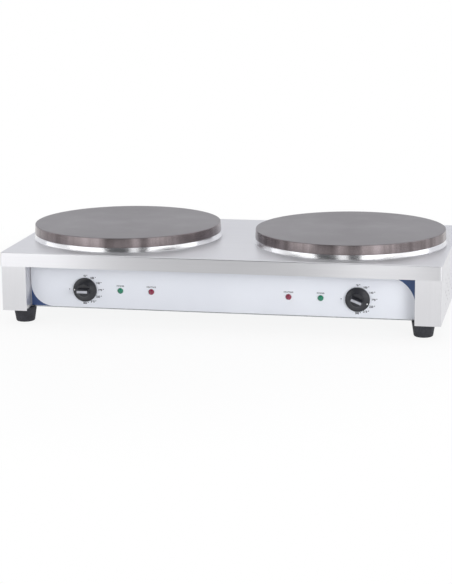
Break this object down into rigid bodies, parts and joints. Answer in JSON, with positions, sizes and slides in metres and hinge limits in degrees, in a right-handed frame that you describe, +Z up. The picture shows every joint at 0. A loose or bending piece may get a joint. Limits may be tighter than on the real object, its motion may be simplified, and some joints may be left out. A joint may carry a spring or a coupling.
{
  "type": "electric crepe maker",
  "caption": "Twin electric crepe maker: two round cast iron plates on polished rings over a stainless cabinet with a recessed fascia, turning knobs and rubber feet.",
  "frame": {"origin": "on the surface the appliance stands on, under the middle of the cabinet", "axes": "+X to the right as seen from the front, +Y to the back, +Z up"},
  "size_m": [0.908, 0.456, 0.18],
  "materials": {
    "stainless_sheet": "fine-brushed stainless sheet with folded edges",
    "galvanised_sheet": "zinc-coated inner sheet",
    "printed_film": "pale printed film with a satin face",
    "black_rubber": "matt black rubber",
    "zinc_fasteners": "zinc-plated steel",
    "seasoned_cast_iron": "machined cast iron, seasoned dark",
    "polished_stainless": "polished stainless steel",
    "ceramic_fibre": "matt white fibre board",
    "sheathed_element": "dark oxidised heater sheath",
    "black_phenolic": "moulded phenolic",
    "copper_tube": "drawn copper",
    "zinc_shaft": "turned, zinc-plated steel",
    "black_knob_plastic": "fine-grained black moulding",
    "silver_inlay": "brushed silver strip",
    "white_paint": "filled white dot",
    "green_lens": "translucent green moulding",
    "red_lens": "translucent red moulding",
    "black_nylon": "moulded nylon",
    "cream_nylon": "moulded nylon",
    "brass_stud": "turned brass"
  },
  "bodies": {
    "cabinet": {"base_plate": "galvanised_sheet", "cable_gland": "black_nylon", "earth_terminal": "brass_stud", "fascia_overlay": "printed_film", "foot_screws": "zinc_fasteners", "front_left_foot": "black_rubber", "front_panel": "stainless_sheet", "front_right_foot": "black_rubber", "lamp_housings": "black_phenolic", "left_capillary_tube": "copper_tube", "left_cooking_plate": "seasoned_cast_iron", "left_element_clamp": "galvanised_sheet", "left_green_lens": "green_lens", "left_heater_pan": "galvanised_sheet", "left_heating_element": "sheathed_element", "left_insulation_pad": "ceramic_fibre", "left_overheat_limiter": "black_phenolic", "left_plate_bridge": "galvanised_sheet", "left_plate_nut": "zinc_fasteners", "left_plate_ring": "polished_stainless", "left_red_lens": "red_lens", "left_sensor_bulb": "copper_tube", "left_side_panel": "stainless_sheet", "left_thermostat": "black_phenolic", "rear_left_foot": "black_rubber", "rear_panel": "stainless_sheet", "rear_panel_screws": "zinc_fasteners", "rear_right_foot": "black_rubber", "right_capillary_tube": "copper_tube", "right_cooking_plate": "seasoned_cast_iron", "right_element_clamp": "galvanised_sheet", "right_green_lens": "green_lens", "right_heater_pan": "galvanised_sheet", "right_heating_element": "sheathed_element", "right_insulation_pad": "ceramic_fibre", "right_overheat_limiter": "black_phenolic", "right_plate_bridge": "galvanised_sheet", "right_plate_nut": "zinc_fasteners", "right_plate_ring": "polished_stainless", "right_red_lens": "red_lens", "right_sensor_bulb": "copper_tube", "right_side_panel": "stainless_sheet", "right_thermostat": "black_phenolic", "terminal_block": "cream_nylon", "thermostat_screws": "zinc_fasteners", "worktop": "stainless_sheet"},
    "left_knob_body": {"left_knob": "black_knob_plastic", "left_knob_inlay": "silver_inlay", "left_knob_pointer": "white_paint", "left_thermostat_shaft": "zinc_shaft"},
    "right_knob_body": {"right_knob": "black_knob_plastic", "right_knob_inlay": "silver_inlay", "right_knob_pointer": "white_paint", "right_thermostat_shaft": "zinc_shaft"}
  },
  "joints": [
    {"name": "left_knob_turn", "type": "hinge", "parent": "cabinet", "child": "left_knob_body", "pos_m": [-0.283, -0.194, 0.0705], "axis": [0, 1, 0], "range_deg": [0, 270]},
    {"name": "right_knob_turn", "type": "hinge", "parent": "cabinet", "child": "right_knob_body", "pos_m": [0.283, -0.194, 0.0705], "axis": [0, 1, 0], "range_deg": [-202, 68]}
  ]
}
